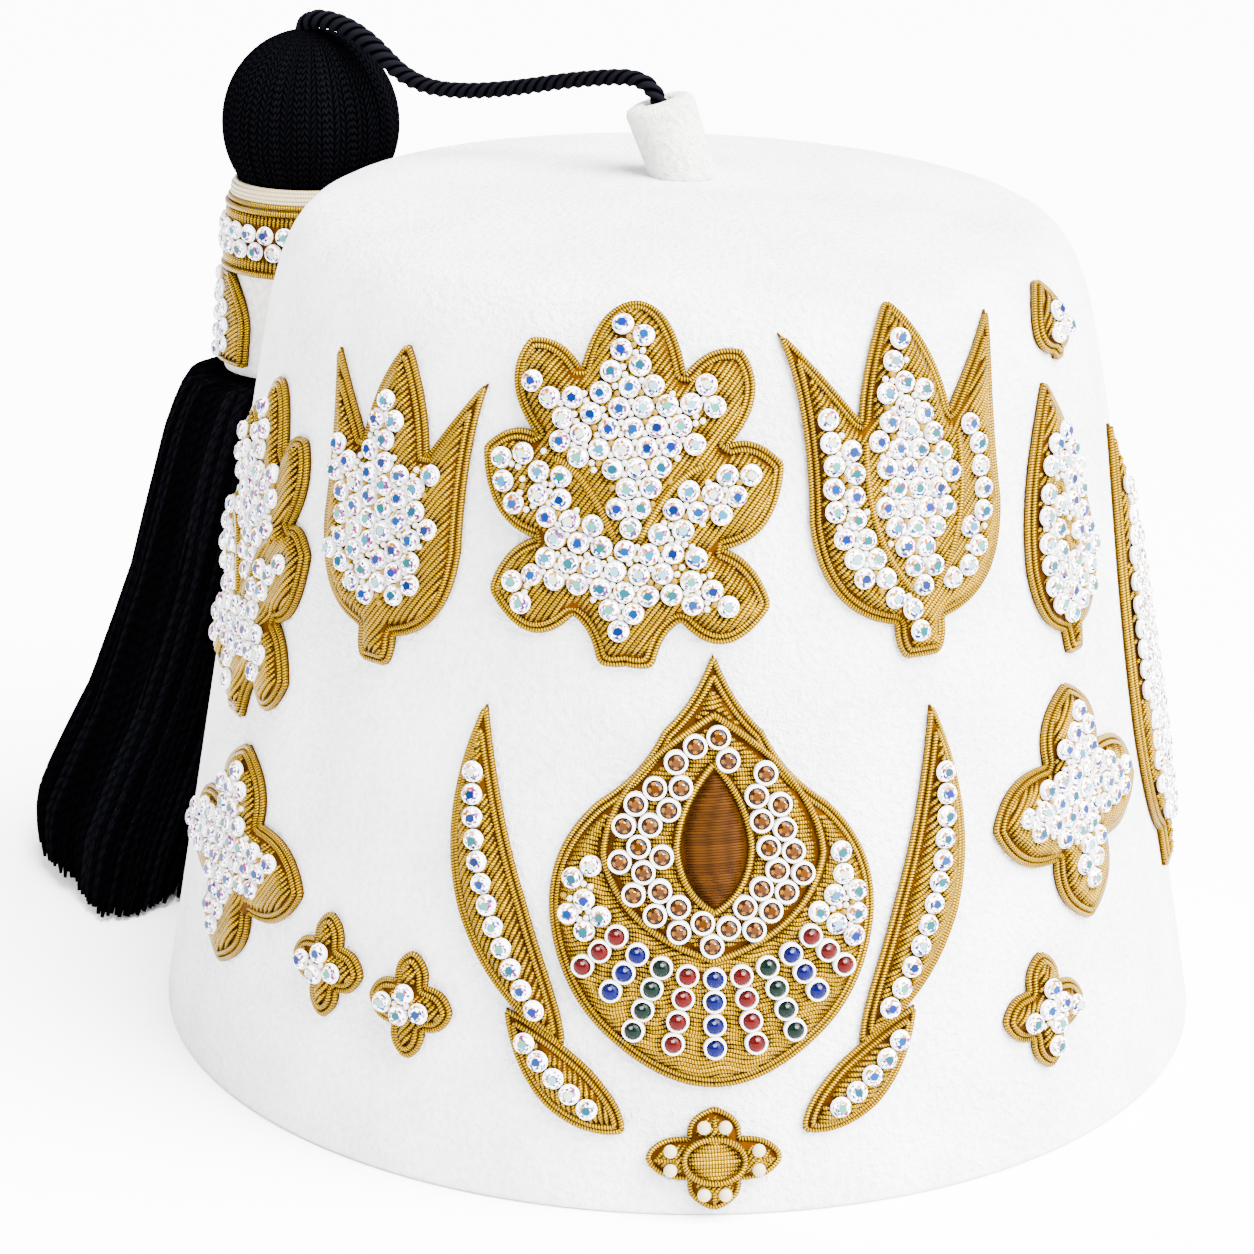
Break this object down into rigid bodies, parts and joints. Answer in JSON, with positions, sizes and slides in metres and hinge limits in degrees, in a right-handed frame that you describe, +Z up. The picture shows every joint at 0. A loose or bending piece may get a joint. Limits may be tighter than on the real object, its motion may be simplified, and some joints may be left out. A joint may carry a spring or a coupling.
{
  "type": "embroidered felt fez with a tassel",
  "caption": "White felt fez with raised gold embroidery set with stones, a felt stem on top, and a black tassel that hangs in an embroidered felt sleeve at the left rear.",
  "frame": {"origin": "on the surface that the rim rests on, under the middle of the hat without its tassel", "axes": "+Z up, -Y towards the front with the medallion, +X to the right as seen from the front"},
  "size_m": [0.2115, 0.2058, 0.1619],
  "materials": {
    "white_felt": "fine-napped wool felt",
    "gold_thread": "laid metallic bullion thread",
    "brown_silk": "satin stitch",
    "black_rayon": "twisted rayon cord",
    "cream_thread": "wound thread"
  },
  "bodies": {
    "root": {"crown": "white_felt", "stem": "white_felt", "palmette_left": "gold_thread", "tulip_left": "gold_thread", "palmette_front": "gold_thread", "tulip_right": "gold_thread", "cypress_small": "gold_thread", "bud_right": "gold_thread", "cypress_tall": "gold_thread", "flower_left": "gold_thread", "flower_right": "gold_thread", "sprig_left_outer": "gold_thread", "sprig_left_inner": "gold_thread", "sprig_right": "gold_thread", "drop_front": "gold_thread", "leaf_left_long": "gold_thread", "leaf_right_long": "gold_thread", "leaf_left_short": "gold_thread", "leaf_right_short": "gold_thread", "medallion": "gold_thread", "medallion_seed": "brown_silk", "tassel_cord": "black_rayon", "tassel_ball": "black_rayon", "tassel_sleeve": "white_felt", "sleeve_thread": "cream_thread", "sleeve_band": "gold_thread", "sleeve_strip": "gold_thread", "tassel_fringe": "black_rayon"}
  },
  "joints": []
}
